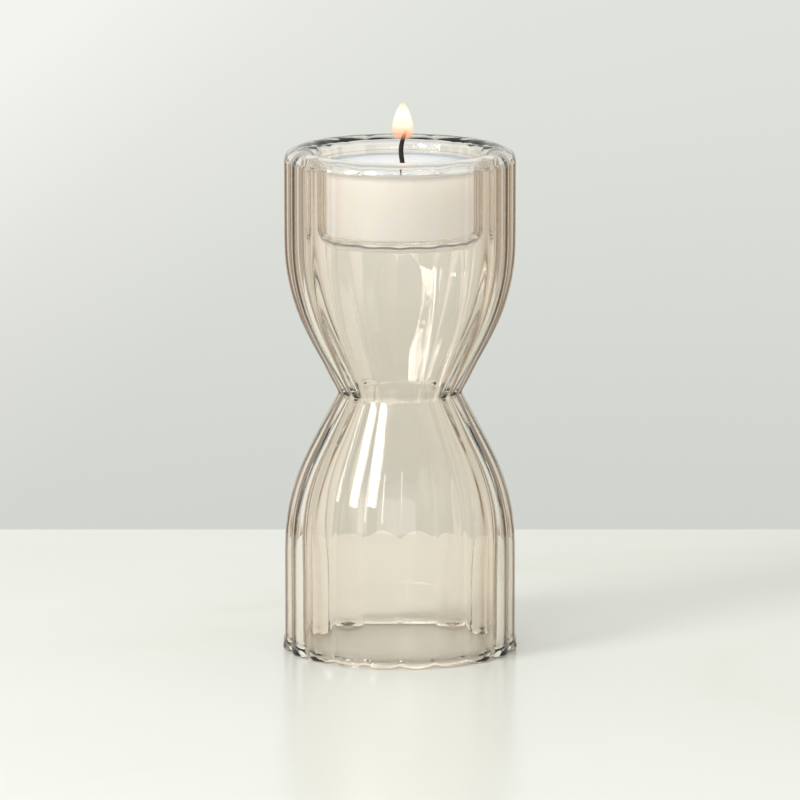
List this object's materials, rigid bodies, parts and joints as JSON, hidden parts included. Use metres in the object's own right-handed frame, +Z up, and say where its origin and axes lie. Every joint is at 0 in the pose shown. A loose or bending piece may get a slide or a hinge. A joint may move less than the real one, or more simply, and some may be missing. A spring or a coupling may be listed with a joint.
{
  "type": "tealight holder",
  "caption": "Fluted hourglass tealight holder in double-walled glass, with a tealight in a clear cup standing in its top recess.",
  "frame": {"origin": "on the axis, on the plane that the foot stands on", "axes": "+Z up along the axis; -Y towards a viewer who sees the wick lean to the right"},
  "size_m": [0.0534, 0.0534, 0.119],
  "materials": {
    "tinted_glass": "gloss, light champagne tint",
    "clear_glass": "gloss, fire polished",
    "clear_plastic": "clear, gloss",
    "paraffin_wax": "waxy satin",
    "burnt_wick": "charred",
    "tinned_steel": "bright"
  },
  "bodies": {
    "holder": {"outer_shell": "tinted_glass", "inner_cup": "clear_glass"},
    "clear_cup": {"tealight_cup": "clear_plastic"},
    "candle": {"wax": "paraffin_wax", "wick": "burnt_wick", "wick_tab": "tinned_steel"}
  },
  "joints": [
    {"name": "tealight_lift", "type": "slide", "parent": "holder", "child": "clear_cup", "axis": [0, 0, 1], "range_m": [0, 0.03]},
    {"name": "wax_lift", "type": "slide", "parent": "clear_cup", "child": "candle", "axis": [0, 0, 1], "range_m": [0, 0.022]}
  ]
}
